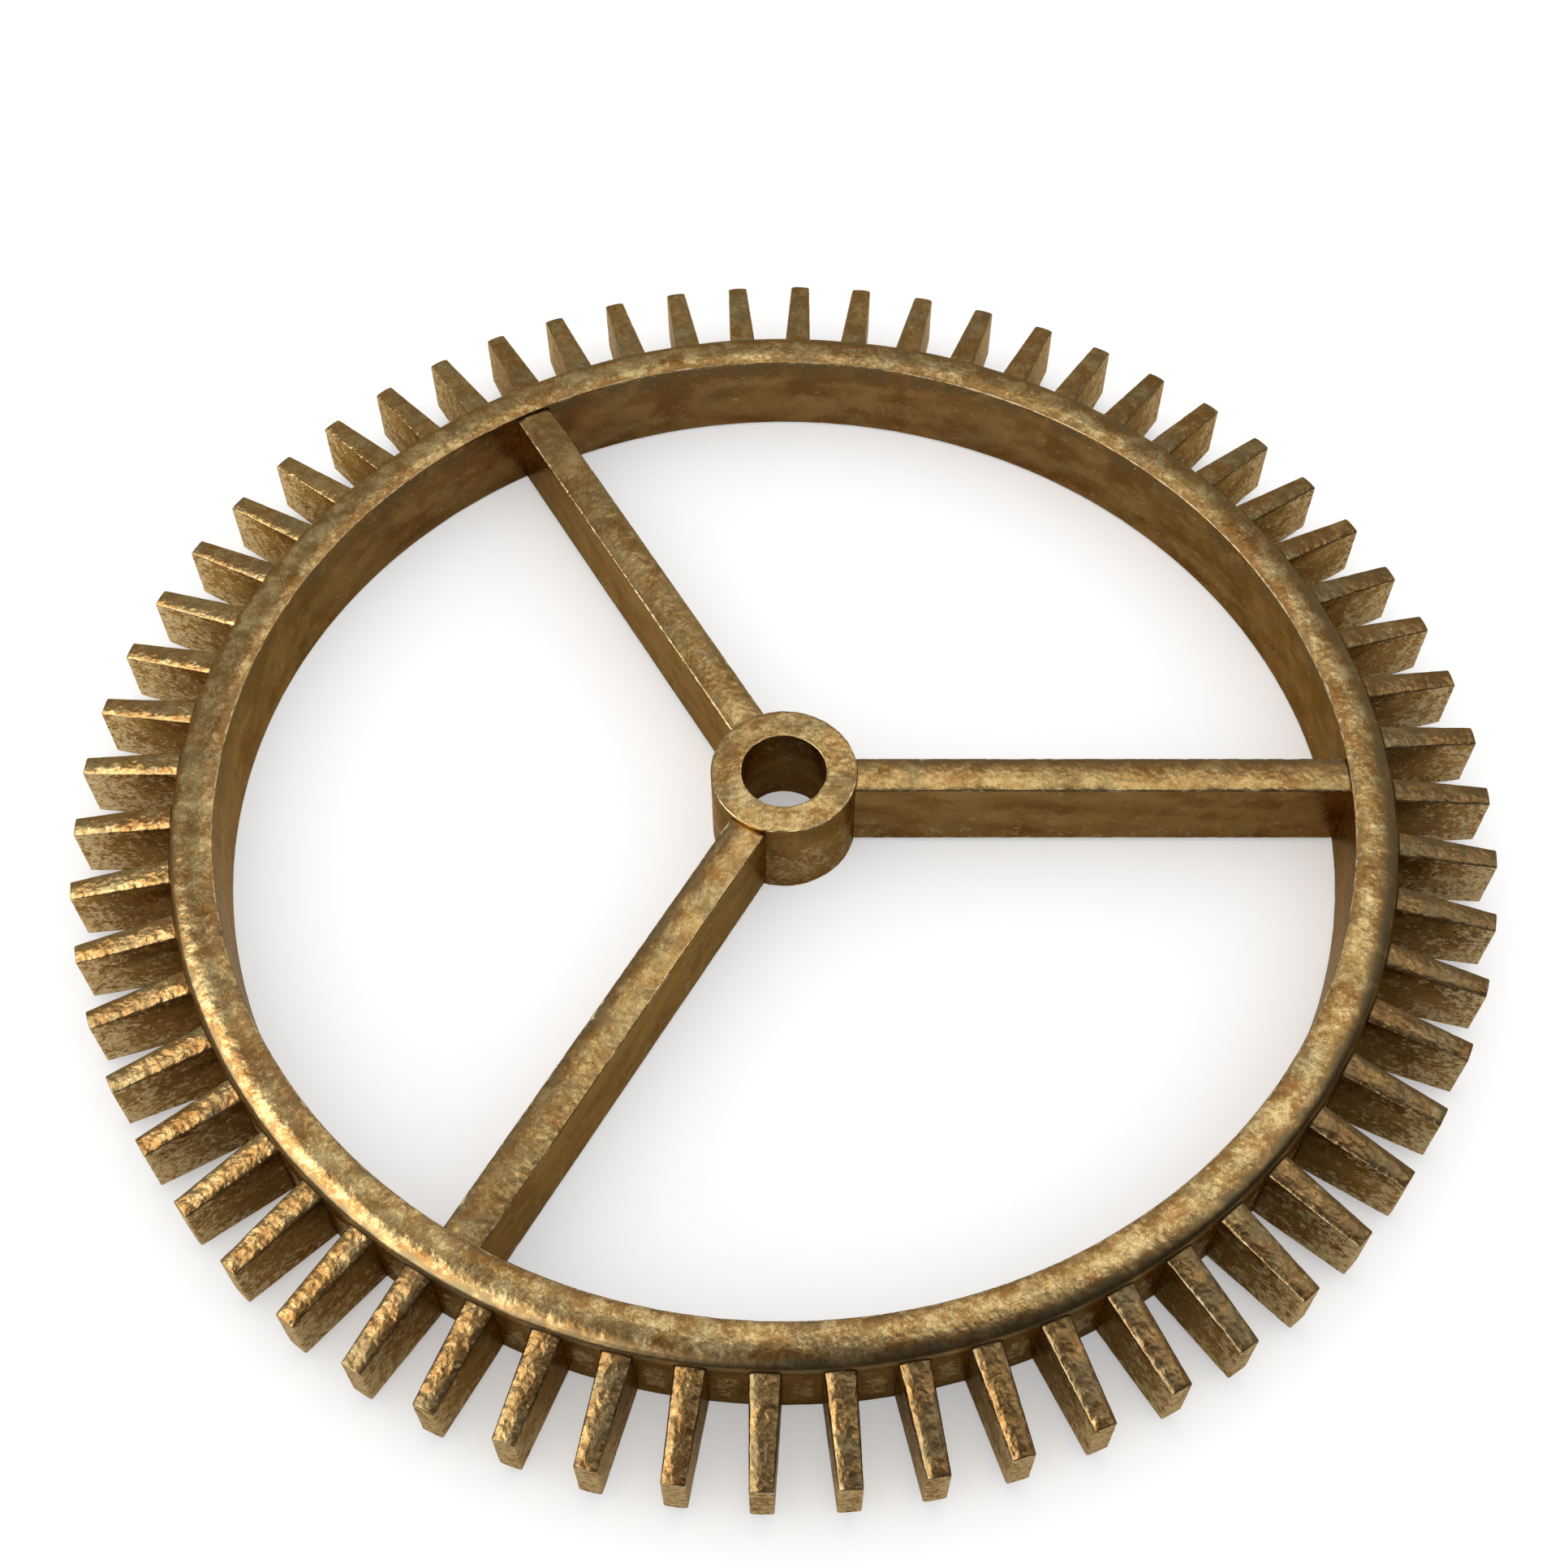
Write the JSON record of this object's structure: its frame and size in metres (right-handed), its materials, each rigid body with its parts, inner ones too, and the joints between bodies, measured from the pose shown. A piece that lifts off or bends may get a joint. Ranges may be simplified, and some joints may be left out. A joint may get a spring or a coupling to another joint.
{
  "type": "spoked spur wheel",
  "caption": "Aged brass spur wheel with straight tapered teeth let into a round-edged rim, slim rectangular spokes and a plain-bored hub.",
  "frame": {"origin": "on the shaft axis, at the face that the wheel lies on", "axes": "+Z along the shaft bore, away from that face; +X along spoke 1"},
  "size_m": [0.2, 0.2, 0.0144],
  "materials": {
    "rim_brass": "aged, brown and olive patina, worn bright on the crown",
    "hub_brass": "aged, mottled patina, worn bright on the edges",
    "spoke_brass": "aged, mottled patina with orange and olive tints",
    "tooth_brass": "aged, dark flanks with scratches, hammered tops"
  },
  "bodies": {
    "root": {"rim": "rim_brass", "hub": "hub_brass", "spoke_1": "spoke_brass", "spoke_2": "spoke_brass", "spoke_3": "spoke_brass", "teeth_01_02": "tooth_brass", "teeth_03_04": "tooth_brass", "teeth_05_06": "tooth_brass", "teeth_07_08": "tooth_brass", "teeth_09_10": "tooth_brass", "teeth_11_12": "tooth_brass", "teeth_13_14": "tooth_brass", "teeth_15_16": "tooth_brass", "teeth_17_18": "tooth_brass", "teeth_19_20": "tooth_brass", "teeth_21_22": "tooth_brass", "teeth_23_24": "tooth_brass", "teeth_25_26": "tooth_brass", "teeth_27_28": "tooth_brass", "teeth_29_30": "tooth_brass", "teeth_31_32": "tooth_brass", "teeth_33_34": "tooth_brass", "teeth_35_36": "tooth_brass", "teeth_37_38": "tooth_brass", "teeth_39_40": "tooth_brass", "teeth_41_42": "tooth_brass", "teeth_43_44": "tooth_brass", "teeth_45_46": "tooth_brass", "teeth_47_48": "tooth_brass", "teeth_49_50": "tooth_brass", "teeth_51_52": "tooth_brass", "teeth_53_54": "tooth_brass", "teeth_55_56": "tooth_brass", "teeth_57_58": "tooth_brass", "teeth_59_60": "tooth_brass"}
  },
  "joints": []
}
